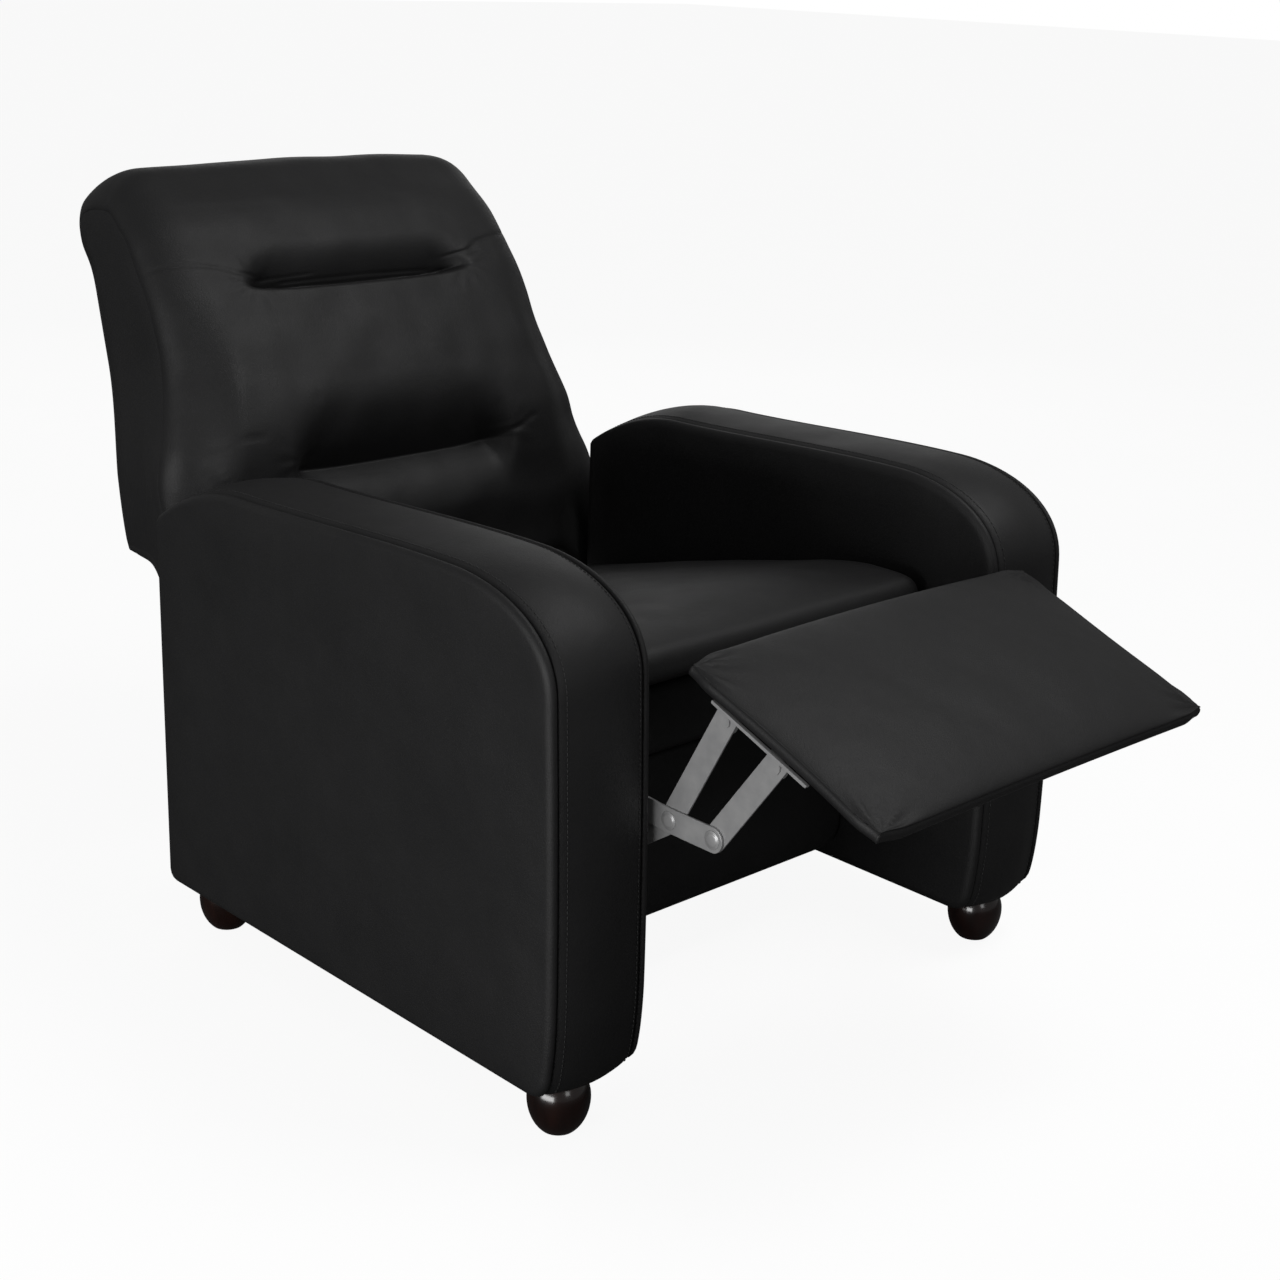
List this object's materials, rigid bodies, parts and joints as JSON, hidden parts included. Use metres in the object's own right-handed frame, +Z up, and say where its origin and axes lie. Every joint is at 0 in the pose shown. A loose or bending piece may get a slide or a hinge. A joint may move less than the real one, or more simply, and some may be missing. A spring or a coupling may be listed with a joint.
{
  "type": "recliner chair",
  "caption": "Push-back recliner armchair in dark leatherette: rounded arms, channelled back that reclines with the seat, and a footrest that folds out on flat steel links.",
  "frame": {"origin": "bottom centre of the reclined chair's bounding box, on the floor", "axes": "+Z up, +Y towards the rear of the chair, the sitter looks along -Y, +X to the sitter's left"},
  "size_m": [0.75, 1.2574, 0.8112],
  "materials": {
    "leatherette": "near-black coated leatherette with a fine grain, soft semi-gloss",
    "timber": "raw sawn softwood and plywood, hidden inside",
    "turned_wood": "dark brown gloss lacquer",
    "zinc_steel": "satin zinc-plated steel strip",
    "non_woven": "matt black non-woven dust cloth"
  },
  "bodies": {
    "chair_base": {"right_arm_outer_panel": "leatherette", "left_arm_outer_panel": "leatherette", "right_arm_inner_panel": "leatherette", "left_arm_inner_panel": "leatherette", "right_arm_band": "leatherette", "left_arm_band": "leatherette", "right_arm_bottom_rail": "timber", "left_arm_bottom_rail": "timber", "right_arm_top_rail": "timber", "left_arm_top_rail": "timber", "right_arm_front_post": "timber", "left_arm_front_post": "timber", "right_arm_rear_post": "timber", "left_arm_rear_post": "timber", "right_front_foot": "turned_wood", "left_front_foot": "turned_wood", "right_rear_foot": "turned_wood", "left_rear_foot": "turned_wood", "right_base_plate": "zinc_steel", "left_base_plate": "zinc_steel", "front_panel": "leatherette", "rear_panel": "leatherette", "front_base_rail": "timber", "rear_base_rail": "timber", "dust_cover": "non_woven"},
    "seat": {"seat_cushion": "leatherette", "seat_deck": "timber", "seat_front_rail": "leatherette", "seat_rear_rail": "timber", "right_seat_rail": "timber", "left_seat_rail": "timber", "right_seat_plate": "zinc_steel", "left_seat_plate": "zinc_steel"},
    "back": {"back_cushion": "leatherette", "back_rear_cover": "leatherette", "back_top_rail": "timber", "back_bottom_rail": "timber", "right_back_rail": "timber", "left_back_rail": "timber", "right_back_bracket": "zinc_steel", "left_back_bracket": "zinc_steel"},
    "footrest_carriers": {"right_carrier_link": "zinc_steel", "left_carrier_link": "zinc_steel"},
    "long_levers": {"right_long_lever": "zinc_steel", "left_long_lever": "zinc_steel"},
    "front_links": {"right_front_link": "zinc_steel", "left_front_link": "zinc_steel"},
    "rear_links": {"right_rear_link": "zinc_steel", "left_rear_link": "zinc_steel"},
    "footrest": {"footrest_pad": "leatherette", "footrest_board": "timber", "right_footrest_bracket": "zinc_steel", "left_footrest_bracket": "zinc_steel"}
  },
  "joints": [
    {"name": "seat_tilt", "type": "hinge", "parent": "chair_base", "child": "seat", "pos_m": [0, 0.22422, 0.235], "axis": [1, 0, 0], "range_deg": [0, 2]},
    {"name": "back_recline", "type": "hinge", "parent": "seat", "child": "back", "pos_m": [0, 0.34422, 0.31], "axis": [1, 0, 0], "range_deg": [0, 12]},
    {"name": "footrest_fold", "type": "hinge", "parent": "seat", "child": "footrest_carriers", "pos_m": [0, -0.23578, 0.325], "axis": [1, 0, 0], "range_deg": [0, 78.9]},
    {"name": "long_lever_turn", "type": "hinge", "parent": "footrest_carriers", "child": "long_levers", "pos_m": [0, -0.37628, 0.3165], "axis": [1, 0, 0], "range_deg": [-81, 0]},
    {"name": "front_link_turn", "type": "hinge", "parent": "footrest_carriers", "child": "front_links", "pos_m": [0, -0.43228, 0.316], "axis": [1, 0, 0], "range_deg": [-92, 0]},
    {"name": "footrest_turn", "type": "hinge", "parent": "long_levers", "child": "footrest", "pos_m": [0, -0.43831, 0.43215], "axis": [1, 0, 0], "range_deg": [0, 71]},
    {"name": "rear_link_turn", "type": "hinge", "parent": "seat", "child": "rear_links", "pos_m": [0, -0.19178, 0.295], "axis": [1, 0, 0], "range_deg": [0, 78.7]}
  ],
  "couplings": [
    {"joint": "seat_tilt", "follows": "back_recline", "ratio": 0.16667},
    {"joint": "long_lever_turn", "follows": "footrest_fold", "ratio": -1.0253},
    {"joint": "front_link_turn", "follows": "footrest_fold", "ratio": -1.163},
    {"joint": "footrest_turn", "follows": "footrest_fold", "ratio": 0.89863},
    {"joint": "rear_link_turn", "follows": "footrest_fold", "ratio": 0.99673}
  ]
}
